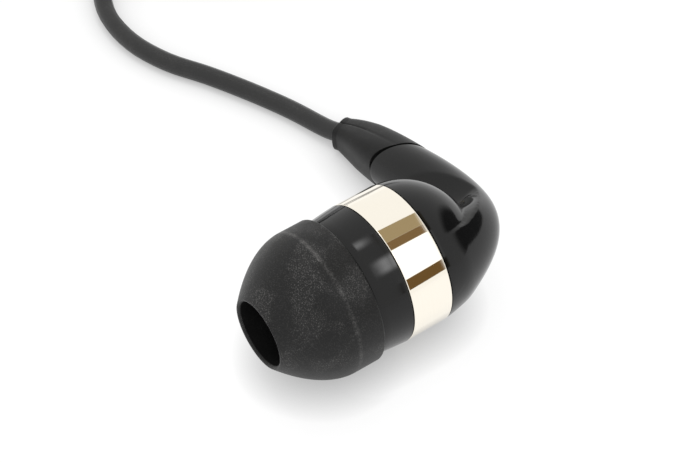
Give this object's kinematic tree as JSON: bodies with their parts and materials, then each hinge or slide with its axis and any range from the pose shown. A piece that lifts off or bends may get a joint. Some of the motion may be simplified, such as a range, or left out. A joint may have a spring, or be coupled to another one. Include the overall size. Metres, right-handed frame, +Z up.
{
  "type": "wired in-ear earphone",
  "caption": "In-ear earphone lying on its side: soft tip, gloss housing with a metal trim band, cable arm with rubber sleeve, and a tied coil of cable ending in a stereo plug.",
  "frame": {"origin": "on the table under the middle of the earpiece's bounding box, measured without the cable, its coil and its plug", "axes": "+Z up from the table; the sound axis runs along Y with the ear tip's mouth facing -Y; the cable arm points towards -X; the plug's tip points along -Y"},
  "size_m": [0.0858, 0.0434, 0.012],
  "materials": {
    "silicone_tip": "matte silicone",
    "gloss_shell": "piano black",
    "trim_metal": "polished, warm nickel",
    "sleeve_rubber": "matte",
    "cable_jacket": "matte",
    "steel_mesh": "perforated sheet",
    "driver_steel": "satin",
    "magnet_alloy": "nickel plated",
    "dark_plastic": "moulded",
    "film_plastic": "thin film",
    "paper": "acoustic paper",
    "copper_wire": "enamelled copper",
    "board": "circuit board",
    "solder": "bright",
    "contact_metal": "polished"
  },
  "bodies": {
    "earphone": {"front_housing": "gloss_shell", "nozzle_screen": "steel_mesh", "nozzle_damper": "paper", "trim_band": "trim_metal", "rear_shell": "gloss_shell", "strain_relief": "sleeve_rubber", "driver_grille": "driver_steel", "driver_frame": "dark_plastic", "tuning_paper": "paper", "driver_gasket": "sleeve_rubber", "pole_plate": "driver_steel", "magnet": "magnet_alloy", "yoke": "driver_steel", "terminal_board": "board", "solder_joints": "solder", "lead_wires": "copper_wire", "cable_stop": "contact_metal", "inner_cable": "cable_jacket", "cable_run": "cable_jacket", "cable_coil": "cable_jacket", "cable_tail": "cable_jacket", "coil_tie": "sleeve_rubber", "plug_boot": "sleeve_rubber", "plug_grip": "dark_plastic", "plug_lead": "cable_jacket", "plug_wires": "copper_wire", "plug_sleeve": "contact_metal", "plug_ring": "contact_metal", "plug_tip": "contact_metal", "outer_insulator": "dark_plastic", "inner_insulator": "dark_plastic"},
    "ear_tip_body": {"ear_tip": "silicone_tip"},
    "moving_coil": {"diaphragm": "film_plastic", "voice_coil": "copper_wire"}
  },
  "joints": [
    {"name": "ear_tip_pull", "type": "slide", "parent": "earphone", "child": "ear_tip_body", "axis": [0, -1, 0], "range_m": [0, 0.008]},
    {"name": "diaphragm_travel", "type": "slide", "parent": "earphone", "child": "moving_coil", "axis": [0, 1, 0], "range_m": [-0.0002, 0.0002], "stiffness_N_per_m": 30}
  ]
}
